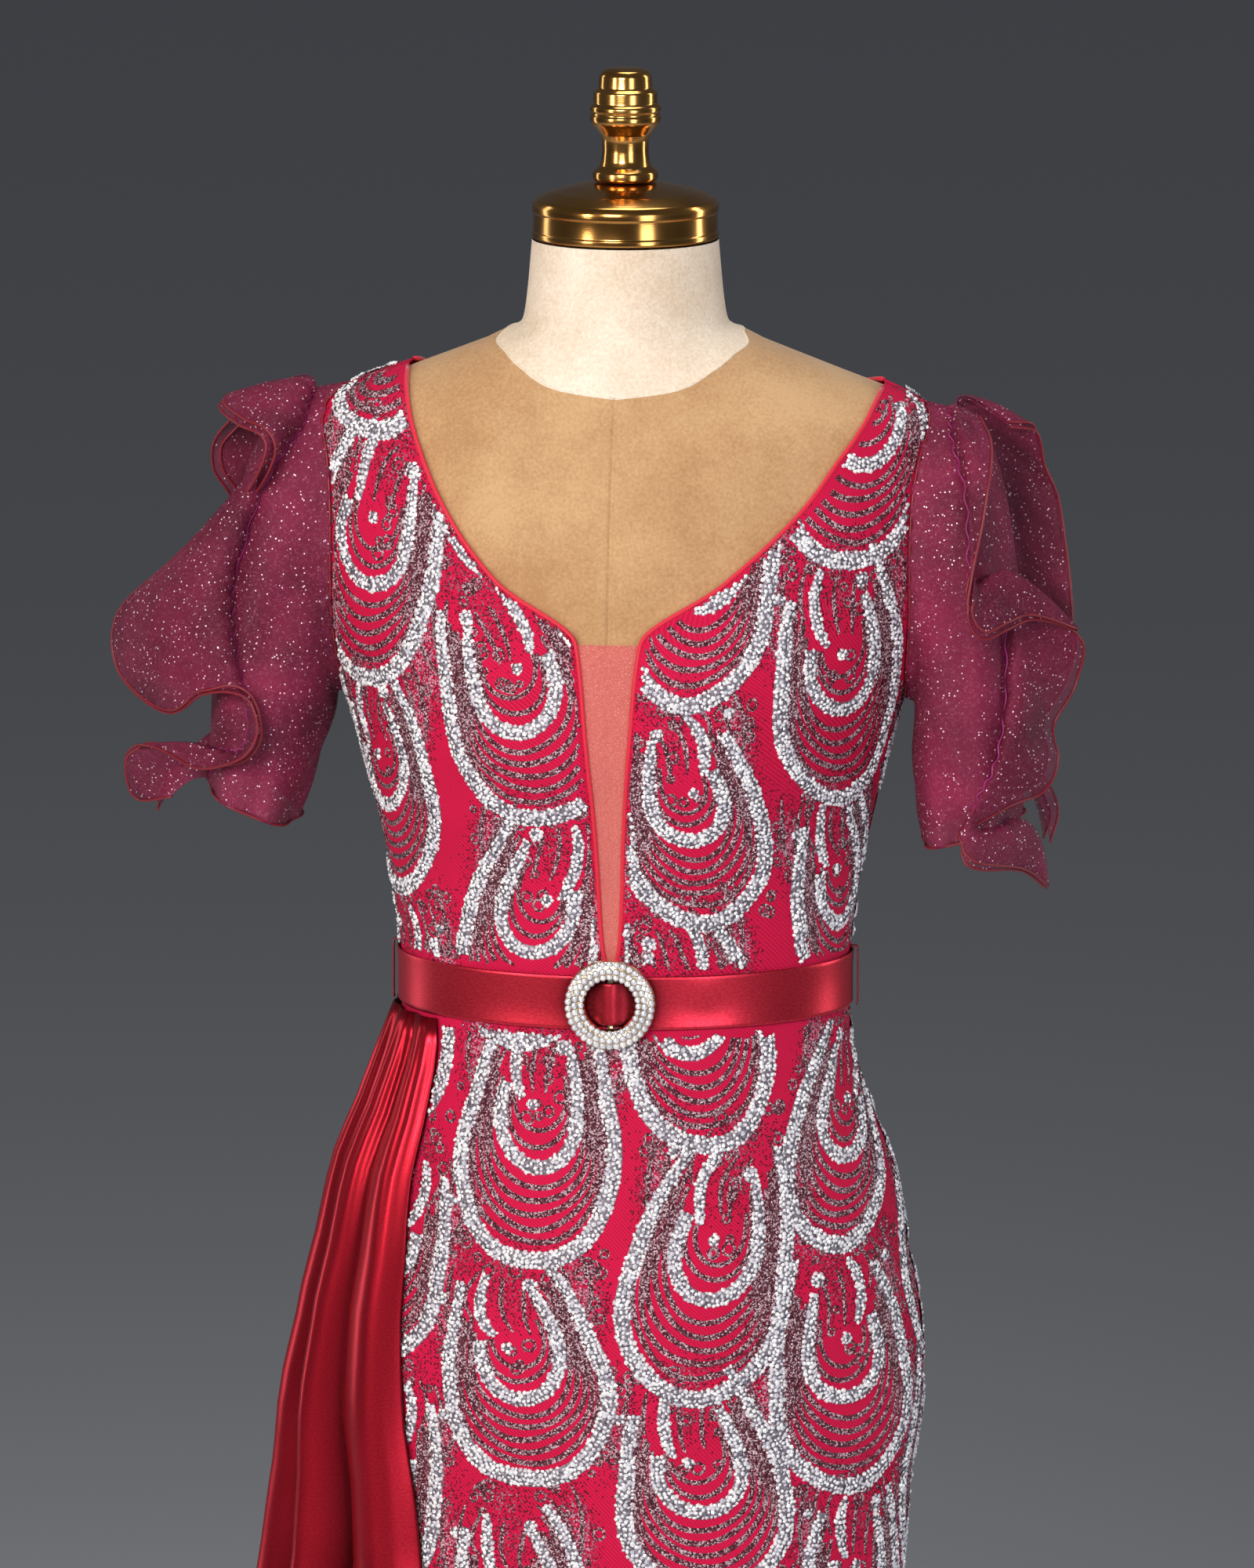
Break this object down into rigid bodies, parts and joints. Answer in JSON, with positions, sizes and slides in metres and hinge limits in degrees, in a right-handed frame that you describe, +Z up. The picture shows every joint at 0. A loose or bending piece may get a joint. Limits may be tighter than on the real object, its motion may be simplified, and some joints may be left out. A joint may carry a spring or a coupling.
{
  "type": "evening gown on a limbless dress form",
  "caption": "Floor-length fitted evening gown with flounced organza sleeves, belt and pleated side drape, on a standing dress form.",
  "frame": {"origin": "centre of the underside of the stand's base, on the floor", "axes": "+Z up, -Y towards the viewer of the gown's front, +X to the wearer's left"},
  "size_m": [0.6127, 0.5528, 1.6043],
  "materials": {
    "sequinned_knit": "crimson knit with silver sequin bands",
    "tulle": "sheer red tulle",
    "satin": "glossy dark red satin",
    "organza": "burgundy glitter organza",
    "velvet": "tan and ivory velvet",
    "brass": "polished brass",
    "rhinestone": "cut clear stones in metal cups",
    "stand_metal": "satin black paint"
  },
  "bodies": {
    "root": {"bodice_front_right": "sequinned_knit", "bodice_front_left": "sequinned_knit", "front_inset": "tulle", "bodice_back_right": "sequinned_knit", "bodice_back_left": "sequinned_knit", "skirt_front": "sequinned_knit", "skirt_back": "sequinned_knit", "side_drape": "satin", "sleeve_right": "organza", "sleeve_left": "organza", "flounce_right_front": "organza", "flounce_left_front": "organza", "flounce_right_back": "organza", "flounce_left_back": "organza", "belt": "satin", "buckle": "rhinestone", "belt_loop_right": "organza", "belt_loop_left": "organza", "form_torso": "velvet", "neck_cap": "brass", "finial": "brass", "stand_pole": "stand_metal", "stand_base": "stand_metal"}
  },
  "joints": []
}
